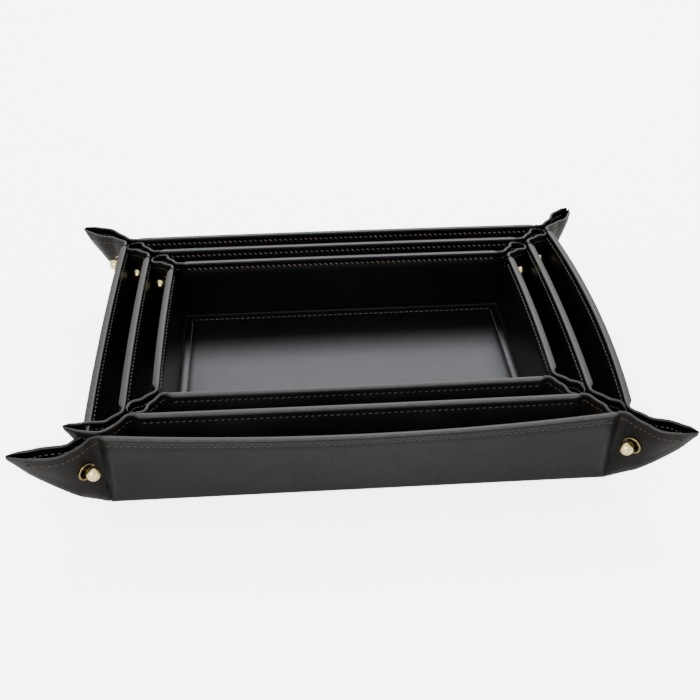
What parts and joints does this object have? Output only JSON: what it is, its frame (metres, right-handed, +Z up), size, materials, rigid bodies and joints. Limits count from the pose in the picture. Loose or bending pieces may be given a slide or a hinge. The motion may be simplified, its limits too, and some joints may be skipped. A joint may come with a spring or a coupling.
{
  "type": "nesting folding dice trays",
  "caption": "Nesting set of black leather dice trays with padded fold-up walls and corner ears pinched by ball studs, shown folded up and stacked one inside another.",
  "frame": {"origin": "centre of the largest tray's underside, on the table", "axes": "+Z up out of the trays, +X along the long side to the right, +Y towards the back"},
  "size_m": [0.3414, 0.2574, 0.0509],
  "materials": {
    "cover_leather": "semi-gloss black with fine grain",
    "lining_leather": "semi-gloss black, smoother",
    "gusset_leather": "semi-gloss black, unpadded",
    "board": "grey fibre board, hidden",
    "stud_metal": "polished pale gold"
  },
  "bodies": {
    "large_floor": {"large_base_cover": "cover_leather", "large_base_board": "board", "large_base_lining": "lining_leather"},
    "large_front_wall": {"large_front_wall": "cover_leather"},
    "large_back_wall": {"large_back_wall": "cover_leather"},
    "large_left_wall": {"large_left_wall": "cover_leather"},
    "large_right_wall": {"large_right_wall": "cover_leather"},
    "large_front_left_ear_left": {"large_front_left_ear_left": "gusset_leather", "large_front_left_stud": "stud_metal"},
    "large_front_left_ear_front": {"large_front_left_ear_front": "gusset_leather"},
    "large_front_right_ear_right": {"large_front_right_ear_right": "gusset_leather", "large_front_right_stud": "stud_metal"},
    "large_front_right_ear_front": {"large_front_right_ear_front": "gusset_leather"},
    "large_back_left_ear_back": {"large_back_left_ear_back": "gusset_leather", "large_back_left_stud": "stud_metal"},
    "large_back_left_ear_left": {"large_back_left_ear_left": "gusset_leather"},
    "large_back_right_ear_back": {"large_back_right_ear_back": "gusset_leather", "large_back_right_stud": "stud_metal"},
    "large_back_right_ear_right": {"large_back_right_ear_right": "gusset_leather"},
    "medium_floor": {"medium_base_cover": "cover_leather", "medium_base_board": "board", "medium_base_lining": "lining_leather"},
    "medium_front_wall": {"medium_front_wall": "cover_leather"},
    "medium_back_wall": {"medium_back_wall": "cover_leather"},
    "medium_left_wall": {"medium_left_wall": "cover_leather"},
    "medium_right_wall": {"medium_right_wall": "cover_leather"},
    "medium_front_left_ear_left": {"medium_front_left_ear_left": "gusset_leather", "medium_front_left_stud": "stud_metal"},
    "medium_front_left_ear_front": {"medium_front_left_ear_front": "gusset_leather"},
    "medium_front_right_ear_right": {"medium_front_right_ear_right": "gusset_leather", "medium_front_right_stud": "stud_metal"},
    "medium_front_right_ear_front": {"medium_front_right_ear_front": "gusset_leather"},
    "medium_back_left_ear_back": {"medium_back_left_ear_back": "gusset_leather", "medium_back_left_stud": "stud_metal"},
    "medium_back_left_ear_left": {"medium_back_left_ear_left": "gusset_leather"},
    "medium_back_right_ear_back": {"medium_back_right_ear_back": "gusset_leather", "medium_back_right_stud": "stud_metal"},
    "medium_back_right_ear_right": {"medium_back_right_ear_right": "gusset_leather"},
    "small_floor": {"small_base_cover": "cover_leather", "small_base_board": "board", "small_base_lining": "lining_leather"},
    "small_front_wall": {"small_front_wall": "cover_leather"},
    "small_back_wall": {"small_back_wall": "cover_leather"},
    "small_left_wall": {"small_left_wall": "cover_leather"},
    "small_right_wall": {"small_right_wall": "cover_leather"},
    "small_front_left_ear_left": {"small_front_left_ear_left": "gusset_leather", "small_front_left_stud": "stud_metal"},
    "small_front_left_ear_front": {"small_front_left_ear_front": "gusset_leather"},
    "small_front_right_ear_right": {"small_front_right_ear_right": "gusset_leather", "small_front_right_stud": "stud_metal"},
    "small_front_right_ear_front": {"small_front_right_ear_front": "gusset_leather"},
    "small_back_left_ear_back": {"small_back_left_ear_back": "gusset_leather", "small_back_left_stud": "stud_metal"},
    "small_back_left_ear_left": {"small_back_left_ear_left": "gusset_leather"},
    "small_back_right_ear_back": {"small_back_right_ear_back": "gusset_leather", "small_back_right_stud": "stud_metal"},
    "small_back_right_ear_right": {"small_back_right_ear_right": "gusset_leather"}
  },
  "joints": [
    {"name": "large_front_fold", "type": "hinge", "parent": "large_floor", "child": "large_front_wall", "pos_m": [0, -0.094, 0.0042], "axis": [1, 0, 0], "range_deg": [0, 84]},
    {"name": "large_back_fold", "type": "hinge", "parent": "large_floor", "child": "large_back_wall", "pos_m": [0, 0.094, 0.0042], "axis": [-1, 0, 0], "range_deg": [0, 84]},
    {"name": "large_left_fold", "type": "hinge", "parent": "large_floor", "child": "large_left_wall", "pos_m": [-0.136, 0, 0.0042], "axis": [0, -1, 0], "range_deg": [0, 84]},
    {"name": "large_right_fold", "type": "hinge", "parent": "large_floor", "child": "large_right_wall", "pos_m": [0.136, 0, 0.0042], "axis": [0, 1, 0], "range_deg": [0, 84]},
    {"name": "large_front_left_left_gusset", "type": "hinge", "parent": "large_left_wall", "child": "large_front_left_ear_left", "pos_m": [-0.136, -0.094, 0.0042], "axis": [-0.1045, 0, 0.9945], "range_deg": [0, 40.91], "deforming": ["large_front_left_ear_left"]},
    {"name": "large_front_left_front_gusset", "type": "hinge", "parent": "large_front_wall", "child": "large_front_left_ear_front", "pos_m": [-0.136, -0.094, 0.0042], "axis": [0, 0.1045, -0.9945], "range_deg": [0, 40.91], "deforming": ["large_front_left_ear_front"]},
    {"name": "large_front_right_right_gusset", "type": "hinge", "parent": "large_right_wall", "child": "large_front_right_ear_right", "pos_m": [0.136, -0.094, 0.0042], "axis": [-0.1045, 0, -0.9945], "range_deg": [0, 40.91], "deforming": ["large_front_right_ear_right"]},
    {"name": "large_front_right_front_gusset", "type": "hinge", "parent": "large_front_wall", "child": "large_front_right_ear_front", "pos_m": [0.136, -0.094, 0.0042], "axis": [0, -0.1045, 0.9945], "range_deg": [0, 40.91], "deforming": ["large_front_right_ear_front"]},
    {"name": "large_back_left_back_gusset", "type": "hinge", "parent": "large_back_wall", "child": "large_back_left_ear_back", "pos_m": [-0.136, 0.094, 0.0042], "axis": [0, 0.1045, 0.9945], "range_deg": [0, 40.91], "deforming": ["large_back_left_ear_back"]},
    {"name": "large_back_left_left_gusset", "type": "hinge", "parent": "large_left_wall", "child": "large_back_left_ear_left", "pos_m": [-0.136, 0.094, 0.0042], "axis": [0.1045, 0, -0.9945], "range_deg": [0, 40.91], "deforming": ["large_back_left_ear_left"]},
    {"name": "large_back_right_back_gusset", "type": "hinge", "parent": "large_back_wall", "child": "large_back_right_ear_back", "pos_m": [0.136, 0.094, 0.0042], "axis": [0, -0.1045, -0.9945], "range_deg": [0, 40.91], "deforming": ["large_back_right_ear_back"]},
    {"name": "large_back_right_right_gusset", "type": "hinge", "parent": "large_right_wall", "child": "large_back_right_ear_right", "pos_m": [0.136, 0.094, 0.0042], "axis": [0.1045, 0, 0.9945], "range_deg": [0, 40.91], "deforming": ["large_back_right_ear_right"]},
    {"name": "medium_lift_out", "type": "slide", "parent": "large_floor", "child": "medium_floor", "axis": [0, 0, 1], "range_m": [0, 0.09]},
    {"name": "medium_front_fold", "type": "hinge", "parent": "medium_floor", "child": "medium_front_wall", "pos_m": [0, -0.078, 0.0087], "axis": [1, 0, 0], "range_deg": [0, 84]},
    {"name": "medium_back_fold", "type": "hinge", "parent": "medium_floor", "child": "medium_back_wall", "pos_m": [0, 0.078, 0.0087], "axis": [-1, 0, 0], "range_deg": [0, 84]},
    {"name": "medium_left_fold", "type": "hinge", "parent": "medium_floor", "child": "medium_left_wall", "pos_m": [-0.12, 0, 0.0087], "axis": [0, -1, 0], "range_deg": [0, 84]},
    {"name": "medium_right_fold", "type": "hinge", "parent": "medium_floor", "child": "medium_right_wall", "pos_m": [0.12, 0, 0.0087], "axis": [0, 1, 0], "range_deg": [0, 84]},
    {"name": "medium_front_left_left_gusset", "type": "hinge", "parent": "medium_left_wall", "child": "medium_front_left_ear_left", "pos_m": [-0.12, -0.078, 0.0087], "axis": [-0.1045, 0, 0.9945], "range_deg": [0, 40.91], "deforming": ["medium_front_left_ear_left"]},
    {"name": "medium_front_left_front_gusset", "type": "hinge", "parent": "medium_front_wall", "child": "medium_front_left_ear_front", "pos_m": [-0.12, -0.078, 0.0087], "axis": [0, 0.1045, -0.9945], "range_deg": [0, 40.91], "deforming": ["medium_front_left_ear_front"]},
    {"name": "medium_front_right_right_gusset", "type": "hinge", "parent": "medium_right_wall", "child": "medium_front_right_ear_right", "pos_m": [0.12, -0.078, 0.0087], "axis": [-0.1045, 0, -0.9945], "range_deg": [0, 40.91], "deforming": ["medium_front_right_ear_right"]},
    {"name": "medium_front_right_front_gusset", "type": "hinge", "parent": "medium_front_wall", "child": "medium_front_right_ear_front", "pos_m": [0.12, -0.078, 0.0087], "axis": [0, -0.1045, 0.9945], "range_deg": [0, 40.91], "deforming": ["medium_front_right_ear_front"]},
    {"name": "medium_back_left_back_gusset", "type": "hinge", "parent": "medium_back_wall", "child": "medium_back_left_ear_back", "pos_m": [-0.12, 0.078, 0.0087], "axis": [0, 0.1045, 0.9945], "range_deg": [0, 40.91], "deforming": ["medium_back_left_ear_back"]},
    {"name": "medium_back_left_left_gusset", "type": "hinge", "parent": "medium_left_wall", "child": "medium_back_left_ear_left", "pos_m": [-0.12, 0.078, 0.0087], "axis": [0.1045, 0, -0.9945], "range_deg": [0, 40.91], "deforming": ["medium_back_left_ear_left"]},
    {"name": "medium_back_right_back_gusset", "type": "hinge", "parent": "medium_back_wall", "child": "medium_back_right_ear_back", "pos_m": [0.12, 0.078, 0.0087], "axis": [0, -0.1045, -0.9945], "range_deg": [0, 40.91], "deforming": ["medium_back_right_ear_back"]},
    {"name": "medium_back_right_right_gusset", "type": "hinge", "parent": "medium_right_wall", "child": "medium_back_right_ear_right", "pos_m": [0.12, 0.078, 0.0087], "axis": [0.1045, 0, 0.9945], "range_deg": [0, 40.91], "deforming": ["medium_back_right_ear_right"]},
    {"name": "small_lift_out", "type": "slide", "parent": "medium_floor", "child": "small_floor", "axis": [0, 0, 1], "range_m": [0, 0.09]},
    {"name": "small_front_fold", "type": "hinge", "parent": "small_floor", "child": "small_front_wall", "pos_m": [0, -0.062, 0.0132], "axis": [1, 0, 0], "range_deg": [0, 84]},
    {"name": "small_back_fold", "type": "hinge", "parent": "small_floor", "child": "small_back_wall", "pos_m": [0, 0.062, 0.0132], "axis": [-1, 0, 0], "range_deg": [0, 84]},
    {"name": "small_left_fold", "type": "hinge", "parent": "small_floor", "child": "small_left_wall", "pos_m": [-0.104, 0, 0.0132], "axis": [0, -1, 0], "range_deg": [0, 84]},
    {"name": "small_right_fold", "type": "hinge", "parent": "small_floor", "child": "small_right_wall", "pos_m": [0.104, 0, 0.0132], "axis": [0, 1, 0], "range_deg": [0, 84]},
    {"name": "small_front_left_left_gusset", "type": "hinge", "parent": "small_left_wall", "child": "small_front_left_ear_left", "pos_m": [-0.104, -0.062, 0.0132], "axis": [-0.1045, 0, 0.9945], "range_deg": [0, 40.91], "deforming": ["small_front_left_ear_left"]},
    {"name": "small_front_left_front_gusset", "type": "hinge", "parent": "small_front_wall", "child": "small_front_left_ear_front", "pos_m": [-0.104, -0.062, 0.0132], "axis": [0, 0.1045, -0.9945], "range_deg": [0, 40.91], "deforming": ["small_front_left_ear_front"]},
    {"name": "small_front_right_right_gusset", "type": "hinge", "parent": "small_right_wall", "child": "small_front_right_ear_right", "pos_m": [0.104, -0.062, 0.0132], "axis": [-0.1045, 0, -0.9945], "range_deg": [0, 40.91], "deforming": ["small_front_right_ear_right"]},
    {"name": "small_front_right_front_gusset", "type": "hinge", "parent": "small_front_wall", "child": "small_front_right_ear_front", "pos_m": [0.104, -0.062, 0.0132], "axis": [0, -0.1045, 0.9945], "range_deg": [0, 40.91], "deforming": ["small_front_right_ear_front"]},
    {"name": "small_back_left_back_gusset", "type": "hinge", "parent": "small_back_wall", "child": "small_back_left_ear_back", "pos_m": [-0.104, 0.062, 0.0132], "axis": [0, 0.1045, 0.9945], "range_deg": [0, 40.91], "deforming": ["small_back_left_ear_back"]},
    {"name": "small_back_left_left_gusset", "type": "hinge", "parent": "small_left_wall", "child": "small_back_left_ear_left", "pos_m": [-0.104, 0.062, 0.0132], "axis": [0.1045, 0, -0.9945], "range_deg": [0, 40.91], "deforming": ["small_back_left_ear_left"]},
    {"name": "small_back_right_back_gusset", "type": "hinge", "parent": "small_back_wall", "child": "small_back_right_ear_back", "pos_m": [0.104, 0.062, 0.0132], "axis": [0, -0.1045, -0.9945], "range_deg": [0, 40.91], "deforming": ["small_back_right_ear_back"]},
    {"name": "small_back_right_right_gusset", "type": "hinge", "parent": "small_right_wall", "child": "small_back_right_ear_right", "pos_m": [0.104, 0.062, 0.0132], "axis": [0.1045, 0, 0.9945], "range_deg": [0, 40.91], "deforming": ["small_back_right_ear_right"]}
  ],
  "couplings": [
    {"joint": "large_back_fold", "follows": "large_front_fold", "ratio": 1},
    {"joint": "large_left_fold", "follows": "large_front_fold", "ratio": 1},
    {"joint": "large_right_fold", "follows": "large_front_fold", "ratio": 1},
    {"joint": "large_front_left_left_gusset", "follows": "large_front_fold", "ratio": 0.48699},
    {"joint": "large_front_left_front_gusset", "follows": "large_front_fold", "ratio": 0.48699},
    {"joint": "large_front_right_right_gusset", "follows": "large_front_fold", "ratio": 0.48699},
    {"joint": "large_front_right_front_gusset", "follows": "large_front_fold", "ratio": 0.48699},
    {"joint": "large_back_left_back_gusset", "follows": "large_front_fold", "ratio": 0.48699},
    {"joint": "large_back_left_left_gusset", "follows": "large_front_fold", "ratio": 0.48699},
    {"joint": "large_back_right_back_gusset", "follows": "large_front_fold", "ratio": 0.48699},
    {"joint": "large_back_right_right_gusset", "follows": "large_front_fold", "ratio": 0.48699},
    {"joint": "medium_front_fold", "follows": "large_front_fold", "ratio": 1},
    {"joint": "medium_back_fold", "follows": "large_front_fold", "ratio": 1},
    {"joint": "medium_left_fold", "follows": "large_front_fold", "ratio": 1},
    {"joint": "medium_right_fold", "follows": "large_front_fold", "ratio": 1},
    {"joint": "medium_front_left_left_gusset", "follows": "large_front_fold", "ratio": 0.48699},
    {"joint": "medium_front_left_front_gusset", "follows": "large_front_fold", "ratio": 0.48699},
    {"joint": "medium_front_right_right_gusset", "follows": "large_front_fold", "ratio": 0.48699},
    {"joint": "medium_front_right_front_gusset", "follows": "large_front_fold", "ratio": 0.48699},
    {"joint": "medium_back_left_back_gusset", "follows": "large_front_fold", "ratio": 0.48699},
    {"joint": "medium_back_left_left_gusset", "follows": "large_front_fold", "ratio": 0.48699},
    {"joint": "medium_back_right_back_gusset", "follows": "large_front_fold", "ratio": 0.48699},
    {"joint": "medium_back_right_right_gusset", "follows": "large_front_fold", "ratio": 0.48699},
    {"joint": "small_front_fold", "follows": "large_front_fold", "ratio": 1},
    {"joint": "small_back_fold", "follows": "large_front_fold", "ratio": 1},
    {"joint": "small_left_fold", "follows": "large_front_fold", "ratio": 1},
    {"joint": "small_right_fold", "follows": "large_front_fold", "ratio": 1},
    {"joint": "small_front_left_left_gusset", "follows": "large_front_fold", "ratio": 0.48699},
    {"joint": "small_front_left_front_gusset", "follows": "large_front_fold", "ratio": 0.48699},
    {"joint": "small_front_right_right_gusset", "follows": "large_front_fold", "ratio": 0.48699},
    {"joint": "small_front_right_front_gusset", "follows": "large_front_fold", "ratio": 0.48699},
    {"joint": "small_back_left_back_gusset", "follows": "large_front_fold", "ratio": 0.48699},
    {"joint": "small_back_left_left_gusset", "follows": "large_front_fold", "ratio": 0.48699},
    {"joint": "small_back_right_back_gusset", "follows": "large_front_fold", "ratio": 0.48699},
    {"joint": "small_back_right_right_gusset", "follows": "large_front_fold", "ratio": 0.48699}
  ]
}
